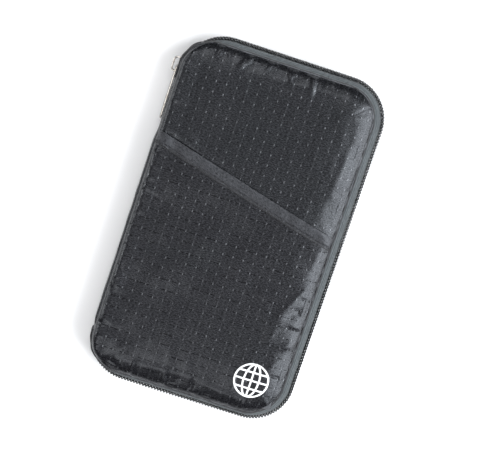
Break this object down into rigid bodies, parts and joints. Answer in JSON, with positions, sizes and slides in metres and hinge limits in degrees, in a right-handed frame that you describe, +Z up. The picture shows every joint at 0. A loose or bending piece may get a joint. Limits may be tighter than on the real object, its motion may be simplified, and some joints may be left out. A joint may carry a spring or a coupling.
{
  "type": "passport holder wallet",
  "caption": "Zip-around padded fabric travel wallet that opens like a book, with an outside slip pocket and inner passport, card, document and coin pockets.",
  "frame": {"origin": "middle of the bounding box on the underside of the closed wallet", "axes": "+Z up from the back cover to the front cover, +Y along the spine towards the slider, -X towards the spine"},
  "size_m": [0.1372, 0.229, 0.022],
  "materials": {
    "ripstop_nylon": "satin ripstop weave",
    "pocket_nylon": "matte plain weave",
    "lining": "matte fine weave",
    "foam": "closed-cell foam",
    "shield_foil": "metallised cloth",
    "binding": "matte grosgrain",
    "zip_tape": "herringbone tape",
    "zip_coil": "satin nylon coil",
    "nickel": "brushed nickel plate",
    "elastic": "ribbed elastic",
    "pull_ribbon": "folded ribbon",
    "white_patch": "white thread"
  },
  "bodies": {
    "back_cover": {"back_outer_panel": "ripstop_nylon", "back_foam": "foam", "back_shield": "shield_foil", "back_lining": "lining", "back_binding": "binding", "back_zip_tape": "zip_tape", "back_zip_coil": "zip_coil", "document_sleeve": "pocket_nylon", "coin_pocket_lower": "pocket_nylon", "coin_pocket_upper": "pocket_nylon", "coin_zip_tape": "zip_tape", "coin_zip_coil": "zip_coil", "pen_loop": "elastic"},
    "coin_slider": {"coin_slider_body": "nickel"},
    "coin_pull": {"coin_pull_tab": "pull_ribbon"},
    "spine": {"spine_panel": "ripstop_nylon", "spine_lining": "lining", "zip_end_tape": "zip_tape", "zip_end_coil": "zip_coil", "zip_stops": "nickel"},
    "slider": {"slider_body": "nickel", "slider_bail": "nickel"},
    "pull": {"pull_tab": "nickel"},
    "front_cover": {"front_outer_panel": "ripstop_nylon", "front_foam": "foam", "front_shield": "shield_foil", "front_lining": "lining", "front_binding": "binding", "front_zip_tape": "zip_tape", "front_zip_coil": "zip_coil", "slip_pocket_panel": "ripstop_nylon", "slip_pocket_hem": "binding", "badge": "white_patch", "passport_pocket": "pocket_nylon", "card_slot_1": "pocket_nylon", "card_slot_2": "pocket_nylon", "card_slot_3": "pocket_nylon", "sim_pocket": "pocket_nylon"}
  },
  "joints": [
    {"name": "spine_hinge", "type": "hinge", "parent": "back_cover", "child": "spine", "pos_m": [-0.06535, 0, 0], "axis": [0, -1, 0], "range_deg": [0, 90]},
    {"name": "cover_hinge", "type": "hinge", "parent": "spine", "child": "front_cover", "pos_m": [-0.06535, 0, 0.022], "axis": [0, -1, 0], "range_deg": [0, 90]},
    {"name": "slider_turn", "type": "hinge", "parent": "spine", "child": "slider", "pos_m": [-0.03615, 0.0875, 0.0106], "axis": [0, 0, 1], "range_deg": [-90, 0]},
    {"name": "pull_swing", "type": "hinge", "parent": "slider", "child": "pull", "pos_m": [-0.066, 0.088, 0.0106], "axis": [0, 0, -1], "range_deg": [0, 180]},
    {"name": "coin_slide", "type": "slide", "parent": "back_cover", "child": "coin_slider", "axis": [-1, 0, 0], "range_m": [0, 0.076]},
    {"name": "coin_pull_lift", "type": "hinge", "parent": "coin_slider", "child": "coin_pull", "pos_m": [0.03865, 0.04, 0.0091], "axis": [0, -1, 0], "range_deg": [0, 18]}
  ],
  "couplings": [
    {"joint": "cover_hinge", "follows": "spine_hinge", "ratio": 1}
  ]
}
